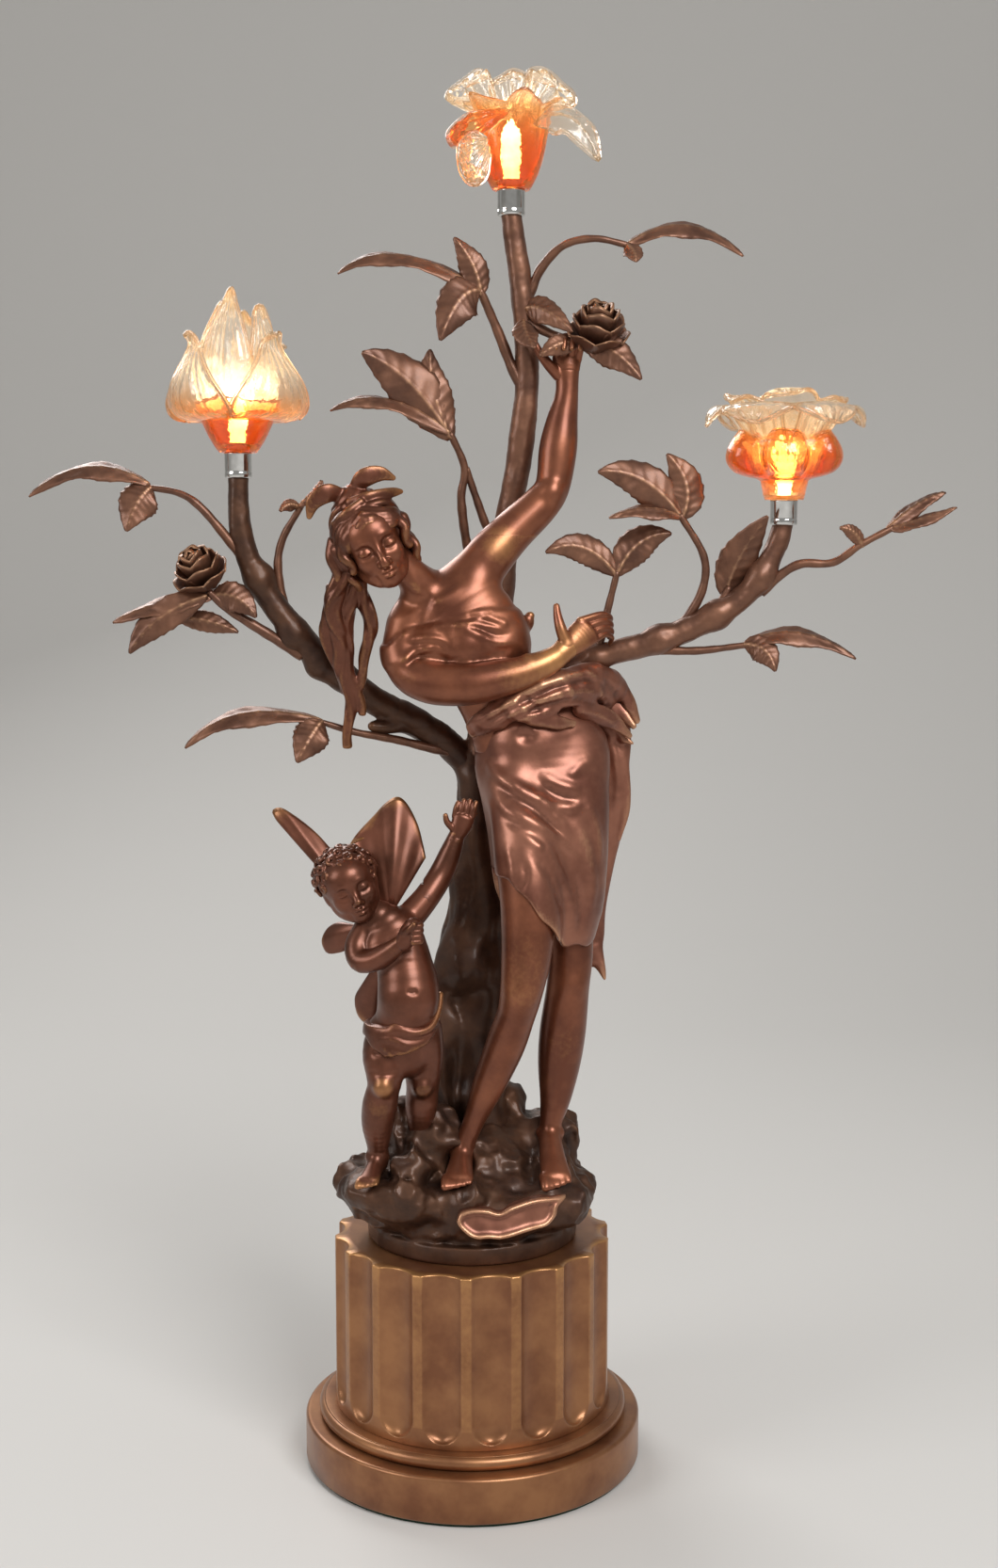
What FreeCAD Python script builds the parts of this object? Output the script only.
import FreeCAD, Part
import math
import os

# Three-light figural table lamp in patinated bronze: fluted drum pedestal, rock,
# woman and winged child beside a flowering bough whose branches carry the lights.
# Millimetres, +Z up, front towards -Y, origin at the centre of the underside.

# ---- driving dimensions -------------------------------------------------------
HEIGHT = 650.0            # floor to the top glass petal
PLINTH_R = 80.0           # round foot
PLINTH_TOP = 23.0
FOOT_EDGE = 1.8           # softened top edge of the foot
TORUS_R = 73.5            # half-round moulding under the drum
TORUS_MINOR = 3.2
DRUM_R = 65.4
DRUM_BASE = PLINTH_TOP + 2 * TORUS_MINOR
DRUM_TOP = 110.0
DRUM_BORE = 52.0
DRUM_ROOF = 6.0
FLUTES = 18
FLUTE_DEPTH = 3.6
FLUTE_CHORD = 18.2
FLUTE_FOOT = 32.0         # lowest point of the rounded flute ends
FLUTE_TURN = -1.6         # degrees, places a ridge at the front
FELT_R = 78.0
FELT_T = 1.5
PLATE_R = 73.0
PLATE_T = 2.0
PLATE_Z = 8.0
FIT = 0.05                # radial clearance of turned fits
ROD_R = 4.0               # M8 tie rod
NUT_AF = 13.0
NUT_H = 6.5
GLAND_Z = 16.5
GLAND_R = 5.5
GLAND_BORE = 3.6
GLAND_FLANGE = 7.5
WIRE_HOLE_R = 4.2
WIRE_X, WIRE_Y = -10.0, 9.0
SOCLE_R = 50.0
SOCLE_T = 3.0

COLLAR_R = 6.4            # chromed lamp collars
COLLAR_H = 11.5
HOLDER_R = 4.6            # ceramic bi-pin lampholder
HOLDER_RISE = 4.0         # how far it stands above the collar
HOLDER_DROP = 8.0
PIN_GAP = 4.0             # G4 capsule pins
PIN_SIDE = 0.7
PIN_HOLE = 0.9
PIN_LEN = 7.5
BULB_R = 4.4
BULB_H = 27.0
GLASS_T = 2.3
GLASS_HOLE = 5.7
BUD_HOLE = 5.45           # the bud's mouth is closer round its lamp
LEAD_R = 1.3              # insulated pair to each light
BORE_R = 2.7              # wireway in the branches

LIGHT_TOP = (18.3, 6.0, 594.0)
LIGHT_LEFT = (-106.1, 0.0, 476.7)
LIGHT_RIGHT = (143.0, 0.0, 455.4)
LIGHTS = {"top": LIGHT_TOP, "left": LIGHT_LEFT, "right": LIGHT_RIGHT}
UP = FreeCAD.Vector(0, 0, 1)
BACK = FreeCAD.Vector(0, 1, 0)
TURN = 2 * math.pi


# ---- shape helpers ------------------------------------------------------------
def vec(p):
    return FreeCAD.Vector(*p)


def facet_loft(rings, loop=False):
    """Closed solid through rings of equal point count; loop joins last to first."""
    n = len(rings[0])
    points = [p for ring in rings for p in ring]
    count = len(rings)
    tris = []
    for k in range(count if loop else count - 1):
        a = k * n
        b = (k + 1) % count * n
        for i in range(n):
            j = (i + 1) % n
            across = (points[a + i] - points[b + j]).Length
            if across < (points[a + j] - points[b + i]).Length:
                tris += [(a + i, a + j, b + j), (a + i, b + j, b + i)]
            else:
                tris += [(a + i, a + j, b + i), (a + j, b + j, b + i)]
    if not loop:
        for ring_no, order in ((0, 1), (count - 1, -1)):
            middle = FreeCAD.Vector()
            for p in rings[ring_no]:
                middle += p * (1.0 / n)
            hub = len(points)
            points.append(middle)
            for i in range(n):
                pair = (ring_no * n + (i + 1) % n, ring_no * n + i)
                tris.append((hub,) + pair[::order])
    skin = Part.Shape()
    skin.makeShapeFromMesh((points, tris), 0.001)
    solid = Part.makeSolid(skin)
    if solid.Volume < 0:
        solid.reverse()
    return solid.removeSplitter()


def section(center, tangent, half_width, half_depth, sides, turn=0.0):
    """Ellipse of points square to the tangent; depth lies towards +Y, or +Z on a limb along Y."""
    t = FreeCAD.Vector(tangent)
    t.normalize()
    ref = UP if abs(t.y) > 0.85 else BACK
    depth = ref - t * ref.dot(t)
    depth.normalize()
    across = t.cross(depth)
    ring = []
    for i in range(sides):
        angle = TURN * i / sides + turn
        ring.append(center + across * (half_width * math.cos(angle)) + depth * (half_depth * math.sin(angle)))
    return ring


def limb(stations, sides=10, first=None, last=None):
    """Loft through (x, y, z, half_width, half_depth) stations; first and last can tilt the ends."""
    mids = [vec(s[:3]) for s in stations]
    rings = []
    for k, s in enumerate(stations):
        tangent = mids[min(k + 1, len(mids) - 1)] - mids[max(k - 1, 0)]
        if k == 0 and first:
            tangent = vec(first)
        if k == len(mids) - 1 and last:
            tangent = vec(last)
        rings.append(section(mids[k], tangent, s[3], s[-1], sides))
    return facet_loft(rings)


def smooth_path(points, count):
    curve = Part.BSplineCurve()
    curve.interpolate([vec(p) for p in points])
    low, high = curve.FirstParameter, curve.LastParameter
    return [curve.value(low + (high - low) * k / (count - 1)) for k in range(count)]


def stem(points, r_start, r_end, count=5, sides=5):
    """Round tapering stem along a smooth path."""
    path = smooth_path(points, count)
    stations = []
    for k, p in enumerate(path):
        r = r_start + (r_end - r_start) * k / (count - 1)
        stations.append((p.x, p.y, p.z, r, r))
    return limb(stations, sides)


def blob(center, radii, lean=(0, 0, 1), sides=12, rows=6):
    """Egg shape: half axes (across, depth, along) with its long axis leaning."""
    axis = vec(lean)
    axis.normalize()
    rings = []
    for k in range(rows + 1):
        a = math.pi * (0.06 + 0.88 * k / rows)
        mid = vec(center) - axis * (radii[2] * math.cos(a))
        rings.append(section(mid, axis, radii[0] * math.sin(a), radii[1] * math.sin(a), sides))
    return facet_loft(rings)


def leaf(base, mid, tip, half_width, facing=(0, -1, 0), fold=0.25, thick=1.5, steps=4):
    """Pointed blade folded along its midrib, on an arched spine."""
    p0, p1, p2 = vec(base), vec(mid) * 2 - (vec(base) + vec(tip)) * 0.5, vec(tip)
    rings = []
    for k in range(steps + 1):
        t = k / steps
        c = p0 * (1 - t) ** 2 + p1 * (2 * t * (1 - t)) + p2 * t * t
        d = (p1 - p0) * (1 - t) + (p2 - p1) * t
        side = d.cross(vec(facing))
        side.normalize()
        up = side.cross(d)
        up.normalize()
        w = max(half_width * math.sin(math.pi * (0.03 + 0.95 * t) ** 0.8), 0.55)
        drop = up * (-fold * w)
        rib = up * (thick / 2 * (1.1 - 0.7 * t))
        rings.append([c + side * w + drop, c + rib, c - side * w + drop, c - rib])
    return facet_loft(rings)


def fused(shapes):
    whole = shapes[0]
    if len(shapes) > 1:
        whole = shapes[0].multiFuse(shapes[1:])
    return whole.removeSplitter()


def biggest(shape, keep=0.12):
    """Main solid of a cut, with the larger offcuts that still touch their neighbour."""
    solids = sorted(shape.Solids, key=lambda s: -s.Volume)
    kept = [s for s in solids if s.Volume > keep * solids[0].Volume]
    return kept[0] if len(kept) == 1 else Part.makeCompound(kept)


def revolved(profile):
    wire = Part.makePolygon([FreeCAD.Vector(r, 0, z) for r, z in profile + profile[:1]])
    return Part.Face(wire).revolve(FreeCAD.Vector(), UP, 360)


def prism(radius, sides, low, height, turn=0.0):
    """Regular prism about the Z axis; radius to its corners."""
    pts = []
    for k in range(sides + 1):
        a = TURN * k / sides + turn
        pts.append(FreeCAD.Vector(radius * math.cos(a), radius * math.sin(a), low))
    return Part.Face(Part.makePolygon(pts)).extrude(FreeCAD.Vector(0, 0, height))


def drilled(shape, radius, x, y, z_low, z_high, sides=12):
    """Upright passage of many flats whose flats stand at the radius; sides=0 is a true round hole."""
    if sides:
        tool = prism(radius / math.cos(math.pi / sides), sides, z_low, z_high - z_low)
        return shape.cut(tool.translated(FreeCAD.Vector(x, y, 0)))
    return shape.cut(Part.makeCylinder(radius, z_high - z_low, FreeCAD.Vector(x, y, z_low)))


# ---- pedestal -------------------------------------------------------------------
def make_felt_pad():
    return prism(FELT_R, 48, 0, FELT_T)


def make_bottom_plate():
    """Eight-sided steel plate that the tie rod pulls up against the ledge in the foot."""
    plate = prism(PLATE_R, 8, PLATE_Z, PLATE_T)
    return drilled(plate, ROD_R + FIT, 0, 0, PLATE_Z, PLATE_Z + PLATE_T)


def make_plinth():
    """Round foot with a half-round moulding, recessed below for the plate."""
    ledge = PLATE_Z + PLATE_T
    edge_z = PLINTH_TOP - FOOT_EDGE
    seat = TORUS_R - TORUS_MINOR
    profile = [(PLINTH_R, FELT_T), (PLINTH_R, edge_z), (PLINTH_R - FOOT_EDGE, PLINTH_TOP), (seat + 0.6, PLINTH_TOP)]
    for k in range(1, 4):
        a = math.pi * (k / 4.0 - 0.5)
        profile.append((seat + TORUS_MINOR * math.cos(a), PLINTH_TOP + TORUS_MINOR * (1 + math.sin(a))))
    profile += [(seat, DRUM_BASE), (0, DRUM_BASE), (0, FELT_T)]
    body = drilled(revolved(profile), DRUM_BORE, 0, 0, ledge, DRUM_BASE, 24)
    body = drilled(body, PLATE_R, 0, 0, FELT_T, ledge, 24)
    gap = prism(GLAND_R, 8, 40, 60, math.pi / 8)
    gap.rotate(FreeCAD.Vector(), FreeCAD.Vector(1, 0, 0), -90)
    return body.cut(gap.translated(FreeCAD.Vector(0, 0, GLAND_Z)))


def make_fluted_drum():
    """Hollow drum; each flute is one round-nosed cutter repeated about the axis."""
    drum = Part.makeCylinder(DRUM_R, DRUM_TOP - DRUM_BASE, FreeCAD.Vector(0, 0, DRUM_BASE))
    drum = drilled(drum, DRUM_BORE, 0, 0, DRUM_BASE, DRUM_TOP - DRUM_ROOF, 24)
    sag = DRUM_R - math.sqrt(DRUM_R ** 2 - (FLUTE_CHORD / 2) ** 2)
    cut_depth = FLUTE_DEPTH - sag
    cutter_r = (cut_depth ** 2 + (FLUTE_CHORD / 2) ** 2) / (2 * cut_depth)
    cutter_x = math.sqrt(DRUM_R ** 2 - (FLUTE_CHORD / 2) ** 2) + math.sqrt(cutter_r ** 2 - (FLUTE_CHORD / 2) ** 2)
    nose_z = FLUTE_FOOT + FLUTE_CHORD / 2
    rings = []
    for lift in (DRUM_TOP + 5 - nose_z, 0, -0.5, -0.84, -1.0):
        z = lift if lift >= 0 else lift * FLUTE_CHORD / 2
        r = math.sqrt(cutter_r ** 2 - min(z, 0) ** 2)
        rings.append([FreeCAD.Vector(cutter_x + r * math.cos(TURN * i / 24), r * math.sin(TURN * i / 24), nose_z + z)
                      for i in range(24)])
    cutter = facet_loft(rings)
    cutters = []
    for k in range(FLUTES):
        one = cutter.copy()
        one.rotate(FreeCAD.Vector(), UP, -90 + FLUTE_TURN + 360.0 / FLUTES * (k + 0.5))
        cutters.append(one)
    drum = drum.cut(Part.makeCompound(cutters))
    drum = drilled(drum, ROD_R + FIT, 0, 0, DRUM_BASE, DRUM_TOP)
    return drilled(drum, WIRE_HOLE_R, WIRE_X, WIRE_Y, DRUM_BASE, DRUM_TOP)


def make_tie_rod():
    return Part.makeCylinder(ROD_R, DRUM_TOP + 12 - 2.5, FreeCAD.Vector(0, 0, 2.5))


def make_tie_rod_nut():
    """Hexagon nut that draws the plate up."""
    nut = prism(NUT_AF / math.sqrt(3), 6, PLATE_Z - NUT_H, NUT_H)
    return drilled(nut, ROD_R, 0, 0, 0, PLATE_Z)


def make_transformer():
    """Twelve-volt transformer case with two screw ears."""
    floor = PLATE_Z + PLATE_T
    case = Part.makeBox(52, 28, 20, FreeCAD.Vector(-26, 12, floor))
    case = case.makeChamfer(2.0, [e for e in case.Edges if abs(e.tangentAt(e.FirstParameter).z) > 0.9])
    ears = Part.makeBox(70, 12, 3, FreeCAD.Vector(-35, 20, floor))
    body = case.fuse(ears).removeSplitter()
    for x in (-30.5, 30.5):
        body = body.cut(prism(1.5, 6, floor, 3).translated(FreeCAD.Vector(x, 26, 0)))
    return body


def make_transformer_screws():
    """Two hexagon screws through the ears."""
    top = PLATE_Z + PLATE_T + 3
    pair = []
    for x in (-30.5, 30.5):
        screw = prism(1.5, 6, top - 3, 3).fuse(prism(3.0, 6, top, 1.8))
        pair.append(screw.translated(FreeCAD.Vector(x, 26, 0)))
    return Part.makeCompound(pair)


def make_cord_gland():
    """Flanged eight-sided bush at the back of the foot; the cord would pass through its bore."""
    length = PLINTH_R - DRUM_BORE + 4
    bush = prism(GLAND_R, 8, PLINTH_R - length, length, math.pi / 8)
    flange = prism(GLAND_FLANGE, 8, PLINTH_R, 2.6, math.pi / 8)
    both = drilled(bush.fuse(flange).removeSplitter(), GLAND_BORE, 0, 0, 0, PLINTH_R + 5, 0)
    both.rotate(FreeCAD.Vector(), FreeCAD.Vector(1, 0, 0), -90)
    return both.translated(FreeCAD.Vector(0, 0, GLAND_Z))


# ---- rock and bough ---------------------------------------------------------------
def make_rock():
    """Craggy mound on a round socle, lobes left and right, rising behind the feet."""
    rows = ((DRUM_TOP + SOCLE_T, 0, 0, 47, 46, 0.03), (119, -1, 0, 46, 44, 0.06), (126, -4, -1, 55, 48, 0.09),
            (134, -3, -2, 57, 48, 0.10), (141, 2, -1, 49, 41, 0.11), (150, 7, 4, 36, 27, 0.10),
            (159, 12, 8, 22, 17, 0.10), (170, 15, 10, 10, 9, 0.05))
    rings = []
    for row, (z, x, y, rx, ry, rough) in enumerate(rows):
        ring = []
        for i in range(15):
            a = TURN * i / 15
            lump = 1 + rough * (math.sin(3 * a + row) + 0.7 * math.sin(7 * a + 2.1 * row)) * 0.6
            ring.append(FreeCAD.Vector(x + rx * lump * math.cos(a), y + ry * lump * math.sin(a), z))
        rings.append(ring)
    socle = Part.makeCylinder(SOCLE_R, SOCLE_T, FreeCAD.Vector(0, 0, DRUM_TOP))
    rock = fused([socle, facet_loft(rings)])
    rock = drilled(rock, ROD_R, 0, 0, DRUM_TOP, DRUM_TOP + 14)
    return drilled(rock, WIRE_HOLE_R, WIRE_X, WIRE_Y, DRUM_TOP, 175)


def make_plaque():
    """Smooth slab of rock low on the front, left bare."""
    rings = []
    for lift in (-4.0, 1.6):
        ring = []
        for i in range(12):
            a = TURN * i / 12
            x = 18 + 26 * math.cos(a) * (1 - 0.06 * math.sin(3 * a))
            rise = 8.5 * math.sin(a)
            ring.append(FreeCAD.Vector(x, -44 + rise * 0.75 - lift * 0.66, 135 + rise * 0.66 + lift * 0.75))
        rings.append(ring)
    return facet_loft(rings)


BOUGH = ((-10.7, 9, 126), (-8.6, 9.4, 170), (-5.0, 11.4, 225), (-0.6, 14.4, 272), (2.4, 17.6, 315),
         (6.1, 18.4, 355), (12.0, 18.2, 400), (16.3, 16.6, 440), (22.4, 12.4, 477), (25.6, 10, 511),
         (23.6, 8, 545), (LIGHT_TOP[0], LIGHT_TOP[1], LIGHT_TOP[2] - COLLAR_H))
LEFT_BOUGH = ((2.4, 17.6, 315), (-2, 17.2, 331), (-12, 16, 342.5), (-27, 13.6, 352), (-44.4, 10, 362), (-61.6, 6, 375),
              (-75, 4, 387.5), (-88, 2, 404), (-98.5, 0.6, 420.5), (-104.8, 0, 437), (-106.2, 0, 452),
              (LIGHT_LEFT[0], LIGHT_LEFT[1], LIGHT_LEFT[2] - COLLAR_H))
RIGHT_BOUGH = ((6.1, 18.4, 355), (13, 16, 363), (26, 11, 369), (43.4, 5, 377), (60.6, 1, 384), (86.6, 0, 391.4),
               (112.5, 0, 402.5), (129.6, 0, 416), (138.8, 0, 432), 
               (LIGHT_RIGHT[0], LIGHT_RIGHT[1], LIGHT_RIGHT[2] - COLLAR_H))


def bough(points, radii, count, sides=9):
    """Branch with a radius that swells and tapers by the given list."""
    path = smooth_path(points, count)
    stations = []
    for k, p in enumerate(path):
        s = k / (count - 1) * (len(radii) - 1)
        low = min(int(s), len(radii) - 2)
        r = radii[low] + (radii[low + 1] - radii[low]) * (s - low)
        stations.append((p.x, p.y, p.z, r, r))
    return limb(stations, sides, last=(0, 0, 1))


def make_boughs():
    """Lower trunk, upper bough and two side branches, all bored for the leads."""
    upright = bough(BOUGH, (11, 9.2, 8.4, 7.8, 7.0, 6.4, 5.8, 5.2, 4.6), 15)
    left = bough(LEFT_BOUGH, (5.0, 5.4, 6.2, 6.4, 5.6, 5.0, 4.6), 11)
    right = bough(RIGHT_BOUGH, (4.6, 4.8, 5.0, 5.4, 5.2, 4.8, 4.6), 10)
    bore_up = bough(BOUGH, (BORE_R, BORE_R), 15, 6)
    bore_left = bough(LEFT_BOUGH, (BORE_R, BORE_R), 11, 6)
    bore_right = bough(RIGHT_BOUGH, (BORE_R, BORE_R), 10, 6)
    bores = Part.makeCompound([bore_up, bore_left, bore_right])
    split_z = 388.0
    block = Part.makeBox(400, 400, split_z, FreeCAD.Vector(-200, -200, 0))
    trunk = upright.common(block).cut(bore_up).cut(bore_left).cut(bore_right)
    top = upright.cut(block).cut(bore_up)
    left = left.cut(upright).cut(bore_left)
    right = right.cut(upright).cut(bore_right)
    return {"tree_trunk": trunk, "branch_top": top, "branch_left": left, "branch_right": right}


def make_wiring():
    """Leads from the transformer up the wireway, forking to the three lampholders."""
    floor = PLATE_Z + PLATE_T + 20
    riser = stem(((WIRE_X, 24, floor + 0.5), (WIRE_X, 18, floor + 14), (WIRE_X, WIRE_Y, floor + 34),
                  (WIRE_X, WIRE_Y, DRUM_TOP), BOUGH[0]), LEAD_R, LEAD_R, 7, 4)
    runs = [riser]
    for route, light, count in ((BOUGH, LIGHT_TOP, 15), (LEFT_BOUGH, LIGHT_LEFT, 11), (RIGHT_BOUGH, LIGHT_RIGHT, 10)):
        path = smooth_path(route, count)
        end = FreeCAD.Vector(light[0], light[1], light[2] - HOLDER_DROP)
        stations = [(p.x, p.y, p.z, LEAD_R, LEAD_R) for p in path + [end]]
        runs.append(limb(stations, 4, last=(0, 0, 1)))
    return fused(runs)


# ---- the three lights --------------------------------------------------------------
def at_light(shape, light):
    return shape.translated(vec(light))


def make_collar():
    tube = prism(COLLAR_R, 16, -COLLAR_H, COLLAR_H)
    tube = drilled(tube, HOLDER_R, 0, 0, -HOLDER_DROP, 0)
    return drilled(tube, BORE_R, 0, 0, -COLLAR_H, -HOLDER_DROP)


def make_lampholder():
    """Ceramic plug with two square pin sockets."""
    body = prism(HOLDER_R, 12, -HOLDER_DROP, HOLDER_DROP + HOLDER_RISE)
    for x in (-PIN_GAP / 2, PIN_GAP / 2):
        corner = FreeCAD.Vector(x - PIN_HOLE / 2, -PIN_HOLE / 2, HOLDER_RISE - PIN_LEN - 0.3)
        body = body.cut(Part.makeBox(PIN_HOLE, PIN_HOLE, PIN_LEN + 1, corner))
    return body


def make_bulb():
    """Capsule lamp: pinched glass base, round bulb, drawn tip, two pins."""
    rows = ((0, 3.7, 2.0), (6, 3.8, 2.2), (9, BULB_R, BULB_R), (19, BULB_R, BULB_R), (23, 3.2, 3.2), (BULB_H, 0.8, 0.8))
    rings = [section(FreeCAD.Vector(0, 0, HOLDER_RISE + z), UP, rx, ry, 12) for z, rx, ry in rows]
    parts = [facet_loft(rings)]
    for x in (-PIN_GAP / 2, PIN_GAP / 2):
        corner = FreeCAD.Vector(x - PIN_SIDE / 2, -PIN_SIDE / 2, HOLDER_RISE - PIN_LEN)
        parts.append(Part.makeBox(PIN_SIDE, PIN_SIDE, PIN_LEN + 0.5, corner))
    return fused(parts)


def glass_cup(profile, lobes, sides, hole=GLASS_HOLE):
    """Open lobed glass; profile rows are (z, radius, lobe depth, rim rise), neck first."""
    def ring(z, r, lobe, rise):
        out = []
        for i in range(sides):
            a = TURN * i / sides
            wave = math.cos(lobes * a)
            out.append(FreeCAD.Vector(r * (1 + lobe * wave) * math.cos(a), r * (1 + lobe * wave) * math.sin(a), z + rise * wave))
        return out
    outer = [ring(*row) for row in profile]
    inner = [ring(z + GLASS_T * 0.3, r - GLASS_T, lobe, rise) for z, r, lobe, rise in profile[1:]]
    inner[-1] = ring(profile[-1][0] - 0.2, profile[-1][1] - GLASS_T, profile[-1][2], profile[-1][3])
    foot = [ring(GLASS_T + 0.6, hole, 0, 0), ring(0, hole, 0, 0)]
    return facet_loft(outer + inner[::-1] + foot, loop=True)


def petal(base, mid, tip, half_width, facing):
    return leaf(base, mid, tip, half_width, facing, fold=-0.28, thick=2.6, steps=5)


def ring_petals(count, start, base, mid, tip, half_width):
    """Petals about the axis; base, mid and tip are (radius, z)."""
    out = []
    for k in range(count):
        a = start + TURN * k / count
        c, s = math.cos(a), math.sin(a)
        pts = [(r * c, r * s, z) for r, z in (base, mid, tip)]
        out.append(petal(pts[0], pts[1], pts[2], half_width, (c, s, 0.15)))
    return out


def make_shade_left():
    """Opening bud: amber cup, closed inner petals, four cupped outer petals."""
    cup = glass_cup(((0, 8.6, 0, 0), (10, 14.5, 0.02, 0), (20, 18.4, 0.04, 0), (34, 18.6, 0.06, 0),
                     (50, 14.8, 0.08, 0), (70, 6.4, 0.14, 2.4)), 5, 20, BUD_HOLE)
    outer = ring_petals(5, math.radians(-54), (16.2, 14), (31, 27), (24.5, 51), 14.5)
    return fused([cup] + outer)


def make_shade_top():
    """Orchid-like flower: amber cup, three tall petals, side petals curling down."""
    cup = glass_cup(((0, 8.1, 0, 0), (10, 12.6, 0.02, 0), (24, 15.2, 0.05, 0), (41, 21, 0.12, 2.5)), 5, 20)
    petals = [petal((-6, 9, 30), (-12, 14, 45), (-27, 8, 49.5), 11, (0.5, -1, 0.2)),
              petal((2, 10, 32), (2, 14, 46), (0, 6, 55.6), 12, (0, -1, 0.3)),
              petal((8, 9, 30), (17, 12, 46), (30, 4, 44), 10, (-0.5, -1, 0.4)),
              petal((12, -4, 30), (26, -9, 33), (41, -16, 7), 7.5, (0.3, -0.6, 1)),
              petal((-12, -3, 30), (-22, -4, 34), (-30, -8, 20), 7.5, (-0.3, -0.7, 1)),
              petal((-8, -11, 28), (-18, -19, 23), (-17, -18, -4), 7.0, (-0.6, -1, 0.5))]
    return fused([cup] + petals)


def make_shade_right():
    """Open poppy: clear neck, lobed amber underside, wide frilled rim."""
    cup = glass_cup(((0, 8.5, 0, 0), (7, 9.8, 0, 0), (17, 20.4, 0.08, 0), (29, 25, 0.10, -0.6),
                     (40, 30.8, 0.10, -2.0), (46.5, 27.5, 0.12, 3.0)), 7, 28)
    return cup


# ---- the woman ------------------------------------------------------------------------
def make_torso():
    return limb(((29, -6, 338, 27, 16), (20, -7, 353, 22, 14), (12, -8, 366, 19, 13), (7, -9, 378, 20.5, 14),
                 (2, -10, 388, 25, 16), (-4, -11, 397, 27, 15.5), (-9, -11, 404, 25, 13),
                 (-13, -12, 410.5, 18, 9.5)), 14, first=(-0.4, 0, 1))


def make_head():
    """Neck and head bowed to the left, plain egg with a nose ridge."""
    neck = limb(((-17, -12, 410, 11, 9), (-22, -14, 416, 9, 8.2), (-29, -17, 423, 7.6, 7.6), (-37, -19, 429, 8, 8)), 8)
    skull = blob((-43.5, -20, 436), (14.6, 16.5, 18.6), (-0.42, -0.05, 0.9), 12, 7)
    nose = leaf((-46, -35, 440), (-43.5, -39, 434), (-41, -37, 430), 2.2, (0, -1, 0.2), fold=0.8, thick=3.0, steps=3)
    return fused([neck, skull, nose])


def make_hair():
    """Waved cap with a knot on top, two long locks falling over the left branch."""
    cap = blob((-50, -15, 441), (17.5, 16.5, 20.5), (-0.42, 0.25, 0.9), 12, 6)
    roll = limb(((-63, -24, 426, 4, 5), (-66, -22, 437, 5.5, 6), (-62, -24, 448, 5.5, 6), (-50, -27, 455, 5, 5),
                 (-37, -25, 450, 5.5, 5.5), (-28.5, -20, 440, 6, 6), (-29, -14, 429, 4.5, 5)), 6)
    knot = blob((-53, -14, 459), (12.5, 12, 6.5), (-0.2, 0, 1), 8, 4)
    lock = limb(((-60, -18, 424, 4.5, 4.5), (-58, -18, 412, 5, 4.5), (-61, -16, 398, 5.5, 4), (-59, -10, 385, 5, 4),
                 (-54, -7, 370, 4.5, 4), (-56, -6, 356, 4, 3.5), (-56, -6, 344, 1.5, 1.5)), 5)
    lock2 = limb(((-52, -16, 414, 4, 4), (-46, -14, 400, 4, 4), (-47, -11, 386, 4.5, 4), (-50, -9, 376, 3, 3)), 5)
    ribbon = leaf((-62, -12, 460), (-52, -12, 468), (-40, -10, 463), 5, (0, -0.6, 0.8))
    end = leaf((-44, -14, 455), (-36, -14, 456), (-27, -14, 452), 4, (0, -0.5, 0.8))
    return fused([cap, roll, knot, lock, lock2, ribbon, end])


def make_arm_raised():
    arm = limb(((-1, -7, 416, 11, 10), (8.4, -6, 429.5, 11.2, 10), (18.3, -3, 440.3, 10, 9.2), (31, 0, 452.5, 8.8, 8.4),
                (37.2, 2, 461.5, 8, 8), (39.8, 3, 480.6, 8.8, 8), (41.6, 4, 491.2, 7.2, 6.8), (43.4, 4, 501, 5.7, 5.4),
                (43.7, 4, 508, 5.4, 4.8), (43, 4, 515, 6.6, 4), (39, 3, 524, 5.4, 3)), 10)
    thumb = limb(((41, 3, 511, 2.4, 2.4), (33.5, 0, 517, 2.2, 2.2), (28.5, -2, 524, 1.4, 1.4)), 5)
    return fused([arm, thumb])


def make_arm_crossing():
    arm = limb(((-29, -12, 398, 10.5, 10), (-30.5, -16, 387, 9.8, 9.6), (-27, -21, 378, 9.6, 9.4), (-18, -25, 373.6, 9.8, 9.2),
                (-6, -28, 372.6, 9.5, 9), (5.2, -29, 373.7, 9.2, 8.6), (23, -28, 377.9, 7.8, 7.2), (34.8, -26, 382.8, 6.2, 5.6),
                (40, -24, 386, 5.4, 4.6), (48, -20, 393, 7.8, 4.4), (54, -17, 400, 4.5, 3)), 10)
    thumb = limb(((42, -24, 390, 2.5, 2.5), (39.5, -24, 399, 2.1, 2.1), (38.5, -22, 408, 1.3, 1.3)), 5)
    return fused([arm, thumb])


def make_skirt():
    """Knee-length dress clinging to the forward thigh, hem slit and higher at the left."""
    body = limb(((20, -7, 360, 19, 13), (27, -6, 349, 27, 16), (31, -6, 338, 30.5, 18), (34, -8, 322, 30, 21),
                 (35.5, -10, 304, 28.5, 22), (36, -12, 286, 27, 22), (35.5, -13, 272, 25.5, 21),
                 (36.5, -13, 262, 21.5, 19.5)), 16, last=(-0.5, 0, -1))
    flap = limb(((44, -10, 272, 16, 18), (45, -10, 260, 13.5, 17), (46, -10, 250.8, 9.5, 15)), 10, last=(0, 0, -1))
    thigh = limb(((22, -20, 322, 13, 13), (25, -28, 300, 14.5, 14.5), (26, -32, 282, 15, 14.5)), 10)
    return fused([body, flap, thigh])


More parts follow.
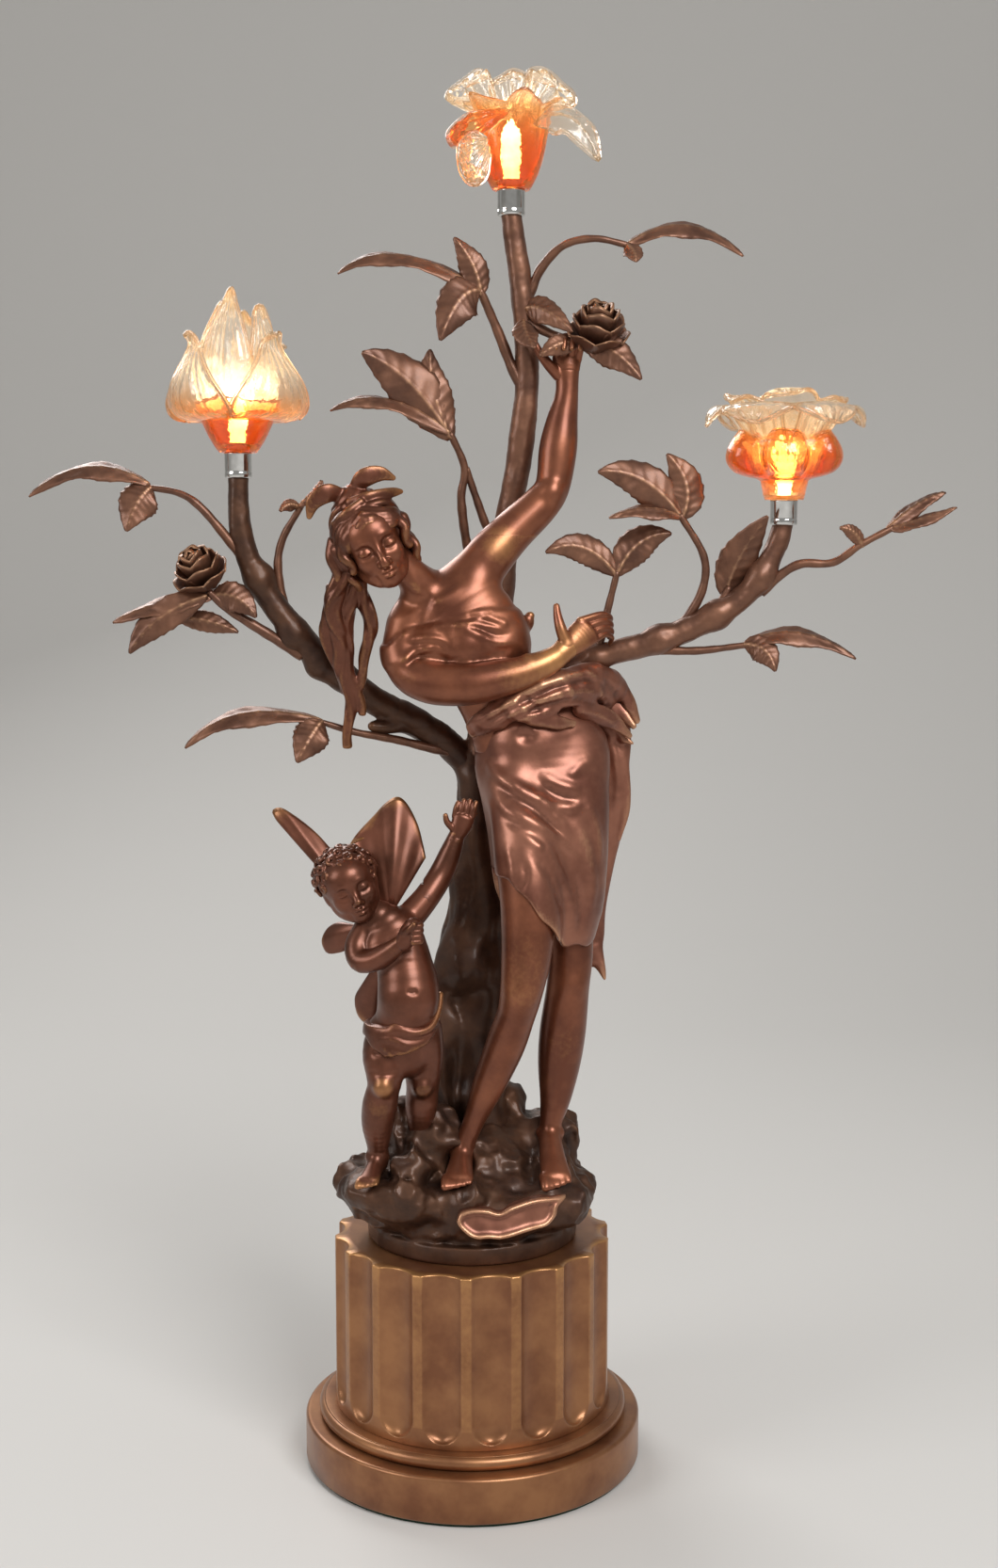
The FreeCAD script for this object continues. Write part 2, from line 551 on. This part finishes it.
def make_leg_bent():
    leg = limb(((25.5, -32, 286, 13, 13), (26, -36, 268, 12.6, 12.6), (25, -38, 250, 11.4, 11.6), (22.8, -38, 234, 9.8, 10.6),
                (20.5, -34, 223, 8.8, 9.6), (15, -28, 206, 8.8, 9.4), (8, -25, 188, 7.2, 7.4), (0, -24, 167, 4.5, 4.9),
                (-3, -24, 154, 5, 6.2), (-3.5, -24, 148, 5.6, 7)), 10)
    foot = limb(((-3.5, -18, 150, 5, 4), (-4, -28, 152.5, 6, 5.5), (-4.5, -38, 149.5, 6.6, 3.8), (-4.5, -46, 147, 5, 2)), 8)
    return fused([leg, foot])


def make_leg_straight():
    leg = limb(((45, -10, 262, 11.5, 12), (46, -11, 246, 10.6, 11.4), (45.6, -12, 231, 9.2, 10), (43.8, -9, 208, 9, 9.6),
                (40, -9, 186, 7.2, 7.4), (36.4, -10, 164, 4.5, 4.9), (35.6, -10, 150, 5, 6.2), (35.6, -10, 143, 5.4, 7)), 10)
    foot = limb(((35.5, -4, 147, 5, 4), (36.6, -14, 149, 6, 5.5), (38.4, -26, 145.5, 6.6, 3.8), (39.6, -36, 141.5, 5, 2)), 8)
    return fused([leg, foot])


def make_sash():
    """Rolled fold of cloth round the hips, knotted at the side."""
    roll = limb(((-2, -17, 350, 3, 4), (10, -23, 358, 5.5, 5), (25, -26, 365, 6.5, 6), (42, -21, 371, 7, 6.5),
                 (57, -8, 372, 7, 7), (64, 5, 366, 7, 7), (66, 12, 354, 6, 6)), 8)
    knot = blob((20.5, -27, 363), (6, 5, 6), (1, 0, 0.4), 7, 4)
    return fused([roll, knot])


def make_back_drape():
    """Loose cloth flying behind the hip and falling in points beside the legs."""
    fall = limb(((64, 13, 362, 7, 5), (68, 14, 346, 8, 5), (66, 14, 330, 8, 6), (61, 13, 308, 11, 7),
                 (56, 13, 288, 11, 7), (52, 14, 266, 11, 7), (51, 14, 250, 12, 7), (54, 12, 236, 8, 5)), 8)
    tips = [leaf((64, 12, 350), (70, 10, 354), (76.5, 8, 350), 6, (0, -1, 0.4), thick=3),
            leaf((64, 12, 340), (69, 11, 346), (75, 9, 341), 6, (0, -1, 0.4), thick=3),
            leaf((60, 12, 330), (70, 12, 318), (71.5, 11, 300), 7, (0.3, -1, 0), thick=3)]
    return fused([fall] + tips)


# ---- the winged child --------------------------------------------------------------------
def make_putto_torso():
    return limb(((-31, -36, 208, 12, 10.5), (-30, -38, 216, 14, 12), (-28.5, -40, 227, 14, 13.2), (-28, -41, 238, 13.6, 13.6),
                 (-30, -38, 249, 12.8, 11.6), (-34.5, -36, 259, 14, 10.4), (-40, -35, 266, 11.4, 8.4),
                 (-46, -34.5, 271, 6.6, 6.4)), 12)


def make_putto_head():
    return blob((-54, -35, 281.5), (14.6, 14.6, 15.4), (-0.35, -0.12, 0.93), 12, 7)


def make_putto_arm_bent():
    return limb(((-47, -36, 262, 6, 6), (-50, -40, 255, 6.6, 6.4), (-43.5, -48, 248, 6.2, 6), (-35, -52, 254.5, 5.2, 5.2),
                 (-28.5, -54, 261.5, 3.8, 3.8), (-25.5, -54, 266, 4.8, 4.6), (-24, -54, 270, 3, 3)), 7)


def make_putto_arm_raised():
    return limb(((-29, -30, 264, 6.4, 6), (-21, -26, 274, 6, 5.8), (-14, -20, 284, 5.6, 5.4), (-9.5, -19, 295, 5, 4.8),
                 (-6, -19, 304, 3.6, 3.6), (-3, -19, 311, 5, 3.6), (-1, -19, 317, 3, 2.4)), 7)


def make_putto_leg_front():
    leg = limb(((-37, -37, 214, 10.5, 10.5), (-39.5, -40, 206, 10, 10), (-38.6, -43, 196, 8, 8.4), (-41, -41, 186, 8, 8.2),
                (-42.6, -38, 174, 7.2, 7.4), (-42.6, -35, 159, 4.6, 4.8), (-43, -35, 151, 5, 5.6)), 9)
    foot = limb(((-43, -32, 151, 4.6, 4), (-45, -41, 151, 5.4, 4.4), (-46.6, -50, 148.6, 4.6, 2)), 7)
    return fused([leg, foot])


def make_putto_leg_back():
    return limb(((-23, -34, 214, 10, 10), (-22, -32, 203, 9.4, 9.4), (-22, -31, 192, 7.8, 8), (-23, -27, 178, 7.2, 7.4),
                 (-24.4, -21, 161, 4.8, 4.8), (-25, -19, 148, 5.4, 6.5)), 9)


def make_loincloth():
    band = limb(((-37, -37, 221, 12, 12.5), (-33, -38, 217, 16.5, 14.6), (-31, -38, 210, 18, 15.4), (-29.5, -37, 203, 17.5, 15)), 10,
                first=(0.25, 0, -1), last=(0.1, 0, -1))
    knot = blob((-34, -53, 209), (3.6, 3, 5), (0, 0, 1), 6, 4)
    return fused([band, knot])


def make_wing_left():
    """Upper and lower lobes of the far wing, seen nearly edge-on."""
    upper = leaf((-48, -25, 265), (-68, -14, 296), (-90, -10, 315), 13, (0.86, -0.4, 0.3), thick=2.4)
    lower = leaf((-48, -25, 265), (-62, -16, 254), (-69, -10, 246), 8, (0.4, -0.9, 0), thick=2.4)
    return fused([upper, lower, blob((-45, -27.5, 263.5), (4, 4, 4), (0, 1, 0), 6, 3)])


def make_wing_right():
    upper = leaf((-37, -25, 263), (-37, -14, 294), (-30, -8, 319), 15, (0.15, -1, 0.1), thick=2.4)
    lower = leaf((-37, -25, 261), (-47, -14, 240), (-53, -12, 222), 8, (0, -1, 0), thick=2.4)
    return fused([upper, lower, blob((-37, -27.5, 261), (4, 4, 4), (0, 1, 0), 6, 3)])


# ---- foliage: each spray is a twig with its leaves -----------------------------------------
FRONT = (0.1, -1, 0.15)
SKY = (0, -0.55, 0.85)


def spray(twigs, leaves, extra=()):
    parts = [stem(points, start, end) for points, start, end in twigs]
    parts += [leaf(*spec) for spec in leaves]
    return fused(parts + list(extra))


def rose(center, radius, lean):
    """Open rose: three nested cups of petals round a bud."""
    axis = vec(lean)
    axis.normalize()
    rings = []
    for along, r in ((-0.85, 0.22), (-0.6, 0.72), (-0.1, 1.0), (0.12, 0.92), (0.1, 0.66), (0.52, 0.72), (0.5, 0.42), (0.86, 0.28)):
        rings.append(section(vec(center) + axis * (radius * along), axis, radius * r, radius * r, 8, turn=along))
    return facet_loft(rings)


def make_sprays():
    out = {}
    out["spray_left_tip"] = spray(
        [(((-98.7, 0.6, 420.8), (-112, -2, 438.8), (-123.5, -4, 452.4), (-133, -4, 458.4), (-147, -4, 461)), 2.5, 1.3)],
        [((-145, -4, 461), (-151, -8, 454), (-156, -10, 441), 9, FRONT),
         ((-146, -4, 462), (-174, -4, 469.5), (-200, -8, 456.5), 7, SKY)])
    out["spray_left_bud"] = spray(
        [(((-78, 3, 384), (-95.4, -2, 395.5), (-110, -4, 405), (-120, -7, 414)), 2.8, 1.8)],
        [((-118, -6, 411), (-142, -9, 408), (-163, -10, 399.6), 7, SKY),
         ((-120, -9, 412), (-141, -13, 402), (-155, -14, 386), 7.5, FRONT),
         ((-118, -6, 412), (-107, -8, 411), (-98, -8, 402), 7, FRONT),
         ((-136, -1, 402), (-121, -2, 400), (-107, -2, 395), 5, FRONT)],
        [rose((-123.5, -8, 423.5), 13, (-0.35, -0.5, 0.8))])
    out["spray_left_inner"] = spray(
        [(((-84.7, 4, 399), (-89, 4, 421.6), (-87, 4, 437), (-77.5, 1, 453)), 2.4, 1.5)],
        [((-79, 1, 452), (-71, -3, 459.5), (-67.5, -4, 464), 4, SKY),
         ((-79, 1, 452), (-83, -2, 453), (-87, -4, 450), 3, FRONT)])
    out["spray_left_low"] = spray(
        [(((0, 14.6, 336), (-14, 12.5, 338.8), (-35.6, 8, 344.5), (-53.7, 2, 348.5), (-70, 0, 353.6)), 2.6, 1.4)],
        [((-69, -1, 354), (-74, -7, 347), (-80, -10, 335.6), 8.5, FRONT),
         ((-69, 0, 354), (-106, -4, 357), (-131.5, -8, 342), 7, SKY)])
    out["spray_top_left"] = spray(
        [(((25, 9, 506), (20, 9, 513), (12.8, 8, 530.5), (6.8, 4, 543.9), (4, 2, 550)), 3.0, 1.6)],
        [((4.5, 2, 547), (1, 1, 560), (-7.6, 2, 572.5), 6.5, FRONT),
         ((4.5, 2, 549), (-5, -4, 544), (-13.6, -8, 526), 10, FRONT),
         ((4.5, 2, 549), (-32, 0, 564), (-59.5, -4, 555.6), 7, SKY)])
    out["spray_shoulder"] = spray(
        [(((12.5, 17, 412), (0, 14, 428), (-4.6, 10, 455), (-3, 8, 470), (-9.6, 4, 486)), 2.5, 1.6),
         (((15, 16.4, 430), (8, 14.6, 441), (2.4, 12, 456), (-2.4, 8.4, 470)), 2.3, 1.6)],
        [((-9, 4, 483), (-28, 0, 508), (-49, -6, 521), 11.5, FRONT),
         ((-9, 4, 485), (-38, 0, 500), (-63.5, -4, 495), 6.5, SKY),
         ((-9.6, 4, 484), (-17, 4, 504), (-18.6, 6, 523.5), 8.5, FRONT)])
    out["spray_top_right"] = spray(
        [(((23.5, 8, 541), (27.5, 7.4, 550), (32, 6, 559.6), (42, 4, 569.4), (56, 0, 571.8), (72, 0, 568.6)), 2.6, 1.4)],
        [((70, 0, 568.6), (97, 3, 577.5), (122, -6, 563), 7, SKY),
         ((70, 0, 569), (73, -6, 565), (73.6, -10, 560), 4.5, FRONT)])
    out["spray_rose"] = spray(
        [(((23.5, 8, 538), (33, 3, 531.6), (44, -1, 526.6), (54, -3, 525)), 2.4, 2.0)],
        [((24, 5, 541), (33, -2, 540), (46, -8, 529.6), 6.5, FRONT),
         ((24, 4, 536), (25, -2, 530), (29, -9, 522.5), 6, FRONT),
         ((50, -4, 526), (64, -9, 521), (76.5, -12, 508.4), 7.5, FRONT),
         ((50, -3, 526), (40, -7, 524.5), (31, -8, 519), 5, FRONT)],
        [rose((57.4, -4, 531.5), 14.6, (0.1, -0.45, 0.9))])
    out["leaf_right_branch"] = spray(
        [(((113, 0.6, 404), (116, 2.6, 410), (119, 3, 416)), 2.4, 1.8)],
        [((117, 3.2, 411), (123, 0.5, 429), (134.5, -10, 448), 8.5, FRONT)])
    out["spray_right_inner"] = spray(
        [(((89, 1.5, 392), (99, 2, 401), (106.4, 0, 415), (106.4, -2, 430), (95, -4, 449)), 2.5, 1.5)],
        [((96, -4, 447), (78, -6, 464), (57.5, -8, 467.6), 9, FRONT),
         ((96, -4, 447), (98, -3, 462), (89, -2, 476), 8.5, FRONT),
         ((96, -4, 447), (80, -8, 451), (62.5, -12, 446.8), 6, SKY)])
    out["spray_hand"] = spray(
        [(((56.5, 0.6, 382.5), (60, 0, 393), (62.6, 0, 404.4), (67, -2, 423)), 2.3, 1.5)],
        [((66.6, -2, 421), (51, -4, 433.6), (34, -6, 431.4), 7, FRONT),
         ((66.6, -2, 421), (77, 0, 435.6), (92, 2, 440), 8, FRONT)])
    out["spray_right_tip"] = spray(
        [(((133, 0, 413), (142, -2, 421.5), (151, -4, 426.4), (165, -6, 427), (177, -8, 435), (192, -8, 443)), 2.4, 1.5)],
        [((188, -8, 441), (203, -6, 453), (216, -4, 458.4), 4.5, SKY),
         ((190, -8, 442), (203, -12, 446), (219, -14, 451.6), 4.5, SKY),
         ((178, -8, 434), (173, -11, 440.6), (166.6, -12, 442.4), 3.5, FRONT)])
    out["spray_right_low"] = spray(
        [(((84, 0, 387), (104, -2, 386.6), (127, -4, 389.4)), 2.3, 1.4)],
        [((125, -4, 389.6), (134, -9, 387), (138.6, -12, 377.6), 6.5, FRONT),
         ((125, -4, 389.4), (150, -4, 394.5), (176, -8, 383), 7, SKY)])
    return out


# ---- assembly -----------------------------------------------------------------------------
def boxes_meet(a, b):
    return a.BoundBox.intersect(b.BoundBox)


def seat(order):
    """Later pieces are cut to the faces of the earlier ones that they meet."""
    done = {}
    for name, shape in order:
        for other in done.values():
            if boxes_meet(shape, other) and shape.distToShape(other)[0] < 0.001:
                trimmed = shape.cut(other)
                if trimmed.Solids:
                    shape = biggest(trimmed)
        done[name] = shape
    return done


nodes = {
    "felt_pad": make_felt_pad(),
    "bottom_plate": make_bottom_plate(),
    "plinth": make_plinth(),
    "fluted_drum": make_fluted_drum(),
    "tie_rod": make_tie_rod(),
    "tie_rod_nut": make_tie_rod_nut(),
    "transformer": make_transformer(),
    "transformer_screws": make_transformer_screws(),
    "cord_gland": make_cord_gland(),
}
for side, light in LIGHTS.items():
    nodes["bulb_" + side] = at_light(make_bulb(), light)
for name, fitting in (("lamp_collars", make_collar()), ("lampholders", make_lampholder())):
    nodes[name] = Part.makeCompound([at_light(fitting, light) for light in LIGHTS.values()])
nodes["shade_top"] = at_light(make_shade_top(), LIGHT_TOP)
nodes["shade_left"] = at_light(make_shade_left(), LIGHT_LEFT)
nodes["shade_right"] = at_light(make_shade_right(), LIGHT_RIGHT)

boughs = make_boughs()
figures = [
    ("rock_mound", make_rock()),
    ("tree_trunk", boughs["tree_trunk"]),
    ("branch_top", boughs["branch_top"]),
    ("branch_left", boughs["branch_left"]),
    ("branch_right", boughs["branch_right"]),
    ("wiring", make_wiring()),
    ("bare_plaque", make_plaque()),
    ("woman_torso", make_torso()),
    ("woman_skirt", make_skirt()),
    ("woman_leg_bent", make_leg_bent()),
    ("woman_leg_straight", make_leg_straight()),
    ("woman_head", make_head()),
    ("woman_arm_raised", make_arm_raised()),
    ("woman_arm_crossing", make_arm_crossing()),
    ("woman_sash", make_sash()),
    ("back_drape", make_back_drape()),
    ("woman_hair", make_hair()),
    ("putto_torso", make_putto_torso()),
    ("putto_head", make_putto_head()),
    ("putto_arm_bent", make_putto_arm_bent()),
    ("putto_arm_raised", make_putto_arm_raised()),
    ("putto_leg_front", make_putto_leg_front()),
    ("putto_leg_back", make_putto_leg_back()),
    ("putto_loincloth", make_loincloth()),
    ("putto_wing_left", make_wing_left()),
    ("putto_wing_right", make_wing_right()),
]
figures += list(make_sprays().items())
nodes.update(seat(figures))

for name, shape in nodes.items():
    shape.exportStep("parts/" + name + ".step")
    box = shape.BoundBox
    print("%-20s solids %d valid %s vol %.0f  x %.1f..%.1f y %.1f..%.1f z %.1f..%.1f" % (
        name, len(shape.Solids), shape.isValid(), shape.Volume, box.XMin, box.XMax, box.YMin, box.YMax, box.ZMin, box.ZMax))
